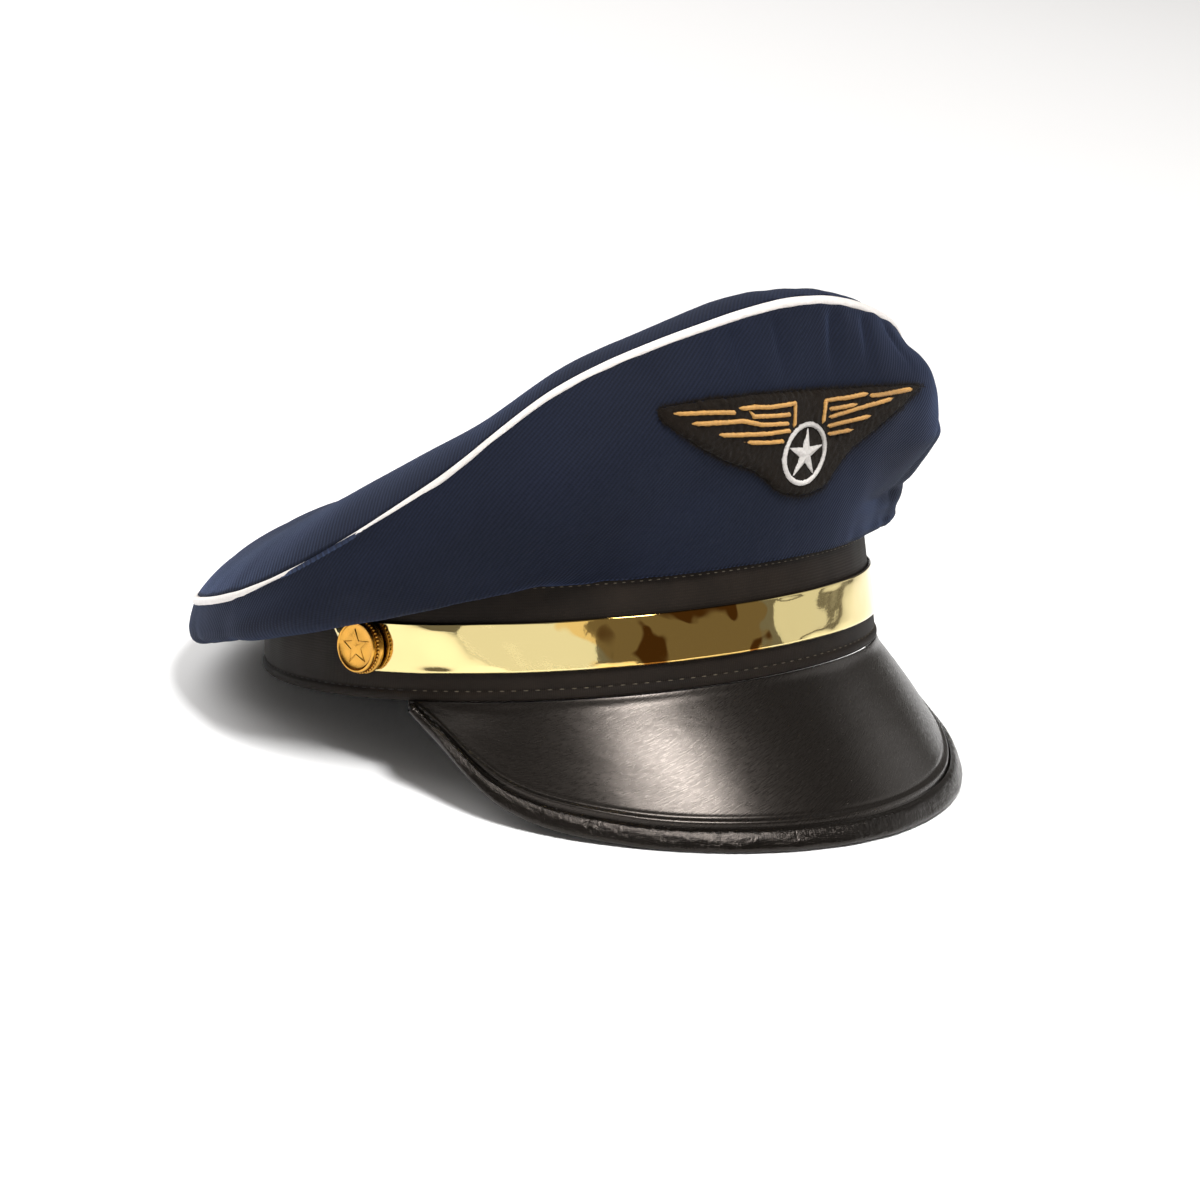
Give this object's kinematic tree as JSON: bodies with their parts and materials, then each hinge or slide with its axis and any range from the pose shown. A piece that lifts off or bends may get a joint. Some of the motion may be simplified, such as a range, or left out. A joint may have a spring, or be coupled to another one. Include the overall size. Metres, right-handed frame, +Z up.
{
  "type": "pilot cap",
  "caption": "Peaked pilot cap with a soft sloping crown, white piping, dark band, gilt strap with star buttons, glossy peak and a winged star badge.",
  "frame": {"origin": "on the surface that the cap rests on, below the middle of its outline", "axes": "+Z up, the peak and badge towards -Y, the wearer's right towards -X; the cap leans back as it rests on the peak's edge and the band's back foot"},
  "size_m": [0.2252, 0.2616, 0.1471],
  "materials": {
    "crown_twill": "matte navy twill weave",
    "white_piping": "satin covered cord",
    "band_cloth": "fine dark plain weave",
    "gilt_strap": "mirror gilt foil",
    "gloss_peak": "gloss black vinyl sheet",
    "peak_binding": "crinkled gloss black vinyl",
    "badge_felt": "black felt",
    "white_thread": "satin stitch",
    "gold_thread": "satin stitch",
    "gilt_button": "stamped gilt"
  },
  "bodies": {
    "root": {"hat_band": "band_cloth", "crown_side": "crown_twill", "crown_top": "crown_twill", "piping": "white_piping", "strap": "gilt_strap", "peak": "gloss_peak", "peak_binding": "peak_binding", "badge_patch": "badge_felt", "badge_ring": "white_thread", "badge_star": "white_thread", "feather_1_tip_right": "gold_thread", "feather_1_right": "gold_thread", "feather_2_right": "gold_thread", "feather_3_right": "gold_thread", "feather_4_right": "gold_thread", "feather_5_right": "gold_thread", "feather_1_tip_left": "gold_thread", "feather_1_left": "gold_thread", "feather_2_left": "gold_thread", "feather_3_left": "gold_thread", "feather_4_left": "gold_thread", "feather_5_left": "gold_thread", "button_right": "gilt_button", "button_left": "gilt_button"}
  },
  "joints": []
}
